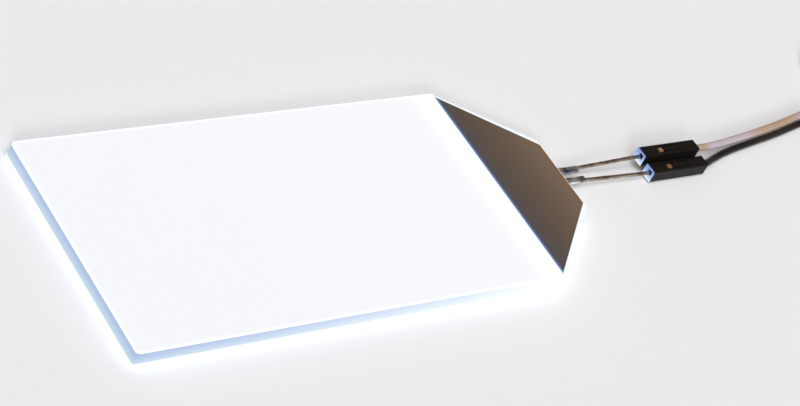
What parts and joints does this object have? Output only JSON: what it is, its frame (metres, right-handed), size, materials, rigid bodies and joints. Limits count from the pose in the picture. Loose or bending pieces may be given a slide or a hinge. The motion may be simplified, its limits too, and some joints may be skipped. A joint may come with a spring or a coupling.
{
  "type": "led backlight panel",
  "caption": "Flat edge-lit backlight panel with a tapered LED end and two push-on jumper wires on its leads.",
  "frame": {"origin": "centre of the lit rectangle, on the flat back face that the panel lies on", "axes": "+X along the panel towards the leads, +Y across the panel, +Z out of the lit face"},
  "size_m": [0.2256, 0.0473, 0.0043],
  "materials": {
    "white_film": "matte white reflecting film, satin",
    "dot_ink": "white printed ink",
    "acrylic": "clear polished acrylic",
    "diffuser": "milky translucent film",
    "mirror_film": "metallised film, slightly brown",
    "led_epoxy": "clear cast epoxy",
    "phosphor": "yellow phosphor in silicone",
    "die": "polished semiconductor",
    "gold": "gold",
    "glue": "clear glue",
    "tinned_lead": "tin-plated, slightly tarnished",
    "housing_black": "moulded black nylon, satin",
    "contact_metal": "gold-flashed phosphor bronze",
    "copper": "bare copper strands, tinned",
    "grey_insulation": "soft pvc, satin",
    "black_insulation": "soft pvc, satin"
  },
  "bodies": {
    "panel": {"back_reflector": "white_film", "extraction_dots": "dot_ink", "light_guide": "acrylic", "diffuser_film": "diffuser", "taper_mirror": "mirror_film", "led_body": "led_epoxy", "led_die": "die", "led_phosphor": "phosphor", "led_bond_wire": "gold", "led_adhesive": "glue", "cathode_lead": "tinned_lead", "anode_lead": "tinned_lead"},
    "grey_jumper": {"grey_front_housing": "housing_black", "grey_front_contact": "contact_metal", "grey_front_core": "copper", "grey_wire": "grey_insulation", "grey_wire_coil": "grey_insulation", "grey_wire_tail": "grey_insulation", "grey_end_core": "copper", "grey_end_contact": "contact_metal", "grey_end_housing": "housing_black"},
    "black_jumper": {"black_front_housing": "housing_black", "black_front_contact": "contact_metal", "black_front_core": "copper", "black_wire": "black_insulation", "black_wire_coil": "black_insulation", "black_wire_tail": "black_insulation", "black_end_core": "copper", "black_end_contact": "contact_metal", "black_end_housing": "housing_black"}
  },
  "joints": [
    {"name": "grey_socket_pull", "type": "slide", "parent": "panel", "child": "grey_jumper", "axis": [1, 0, 0], "range_m": [0, 0.0063]},
    {"name": "black_socket_pull", "type": "slide", "parent": "panel", "child": "black_jumper", "axis": [1, 0, 0], "range_m": [0, 0.0063]}
  ]
}
